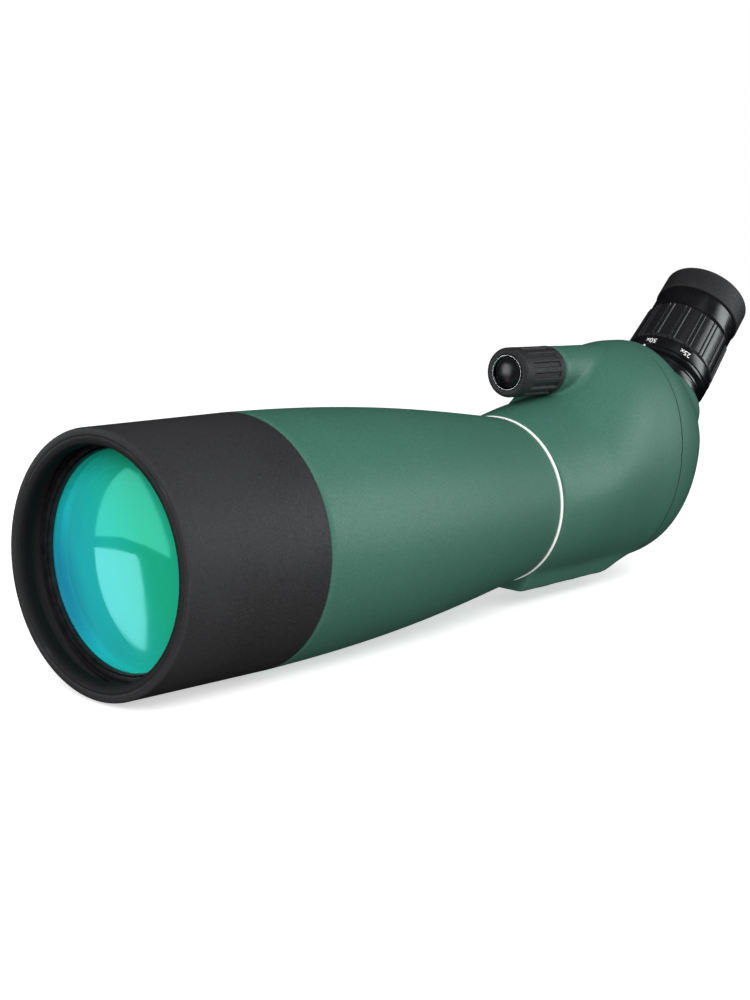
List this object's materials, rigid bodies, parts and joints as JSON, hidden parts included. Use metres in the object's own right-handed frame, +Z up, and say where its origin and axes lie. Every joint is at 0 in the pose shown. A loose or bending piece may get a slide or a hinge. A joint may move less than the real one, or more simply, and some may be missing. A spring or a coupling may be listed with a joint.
{
  "type": "angled zoom spotting scope",
  "caption": "Angled spotting scope with a large objective under a slide-out sun hood, top focus knob, tripod foot and a tilted zoom eyepiece with a twist-up eyecup.",
  "frame": {"origin": "centre of the tripod foot's flat underside, on the vertical plane through the optical axis", "axes": "-Y towards the objective and the subject, +Y towards the eyepiece, +Z up, +X to the left of a user looking in from behind"},
  "size_m": [0.0842, 0.3683, 0.1334],
  "materials": {
    "green_armour": "satin rubber-armoured, fine speckle",
    "black_armour": "matte, fine speckle",
    "black_plastic": "satin",
    "black_rubber": "matte moulded",
    "white_ring": "semi-gloss",
    "black_metal": "matte black anodised",
    "coated_glass": "polished, green-blue multi-coating",
    "steel": "turned",
    "brass": "turned",
    "chrome": "polished",
    "gloss_black": "polished"
  },
  "bodies": {
    "scope_body": {"hood_guide_ring": "black_rubber", "main_tube": "green_armour", "accent_ring": "white_ring", "front_baffle": "black_plastic", "rear_baffle": "black_plastic", "objective_cell": "black_metal", "objective_retaining_ring": "black_metal", "objective_crown_lens": "coated_glass", "lens_spacer": "black_metal", "objective_flint_lens": "coated_glass", "prism_housing": "green_armour", "tripod_bush": "brass", "cover_gasket": "black_rubber", "rear_cover": "green_armour", "cover_screw_left": "steel", "cover_screw_right": "steel", "prism_cradle": "black_metal", "roof_prism": "coated_glass", "cradle_screw_left": "steel", "cradle_screw_right": "steel", "focus_guide_rod_left": "steel", "focus_guide_rod_right": "steel", "prism_clamp": "black_metal", "clamp_screw_left": "steel", "clamp_screw_right": "steel", "focus_bush": "brass", "focus_shaft_seal": "black_rubber", "eyepiece_collar": "black_plastic", "eyepiece_barrel": "black_metal", "field_lens": "coated_glass", "field_stop": "black_metal", "eye_lens": "coated_glass", "eye_lens_retainer": "black_metal", "eyepiece_top_collar": "gloss_black"},
    "hood": {"sun_hood": "black_armour"},
    "focus_knob": {"focus_lead_screw": "steel", "focus_shaft_clip": "steel", "focus_knob_core": "black_plastic", "focus_knob_grip": "black_rubber", "knob_trim_ring": "chrome", "knob_cap": "gloss_black", "knob_screw": "steel"},
    "lens_carriage": {"focus_carriage": "black_metal", "focusing_lens": "coated_glass", "focusing_lens_ring": "black_metal"},
    "zoom_control": {"zoom_ring": "black_plastic", "zoom_grip": "black_rubber", "zoom_cam_sleeve": "black_metal"},
    "zoom_front_group": {"zoom_carrier_front": "black_metal", "zoom_lens_front": "coated_glass"},
    "zoom_rear_group": {"zoom_carrier_rear": "black_metal", "zoom_lens_rear": "coated_glass"},
    "cup_ring": {"eyecup_twist_ring": "black_plastic"},
    "cup": {"eyecup": "black_rubber", "eyecup_sleeve": "black_plastic"}
  },
  "joints": [
    {"name": "hood_slide", "type": "slide", "parent": "scope_body", "child": "hood", "axis": [0, -1, 0], "range_m": [0, 0.033]},
    {"name": "focus_turn", "type": "hinge", "parent": "scope_body", "child": "focus_knob", "pos_m": [0, -0.0125, 0.0843], "axis": [0, 1, 0], "range_deg": [0, 1440]},
    {"name": "carriage_slide", "type": "slide", "parent": "scope_body", "child": "lens_carriage", "axis": [0, 1, 0], "range_m": [0, 0.01]},
    {"name": "zoom_turn", "type": "hinge", "parent": "scope_body", "child": "zoom_control", "pos_m": [0, 0.09576, 0.08096], "axis": [0, 0.7071, 0.7071], "range_deg": [-46.5, 46.5]},
    {"name": "zoom_front_slide", "type": "slide", "parent": "scope_body", "child": "zoom_front_group", "axis": [0, 0.7071, 0.7071], "range_m": [-0.004, 0.004]},
    {"name": "zoom_rear_slide", "type": "slide", "parent": "scope_body", "child": "zoom_rear_group", "axis": [0, 0.7071, 0.7071], "range_m": [-0.004, 0.004]},
    {"name": "cup_twist", "type": "hinge", "parent": "scope_body", "child": "cup_ring", "pos_m": [0, 0.12122, 0.10642], "axis": [0, 0.7071, 0.7071], "range_deg": [0, 90]},
    {"name": "cup_rise", "type": "slide", "parent": "cup_ring", "child": "cup", "axis": [0, 0.7071, 0.7071], "range_m": [0, 0.008]}
  ],
  "couplings": [
    {"joint": "focus_turn", "follows": "carriage_slide", "rad_per_m": 2513.3},
    {"joint": "zoom_turn", "follows": "zoom_front_slide", "rad_per_m": 202.89},
    {"joint": "zoom_rear_slide", "follows": "zoom_front_slide", "ratio": -1},
    {"joint": "cup_twist", "follows": "cup_rise", "rad_per_m": 196.35}
  ]
}
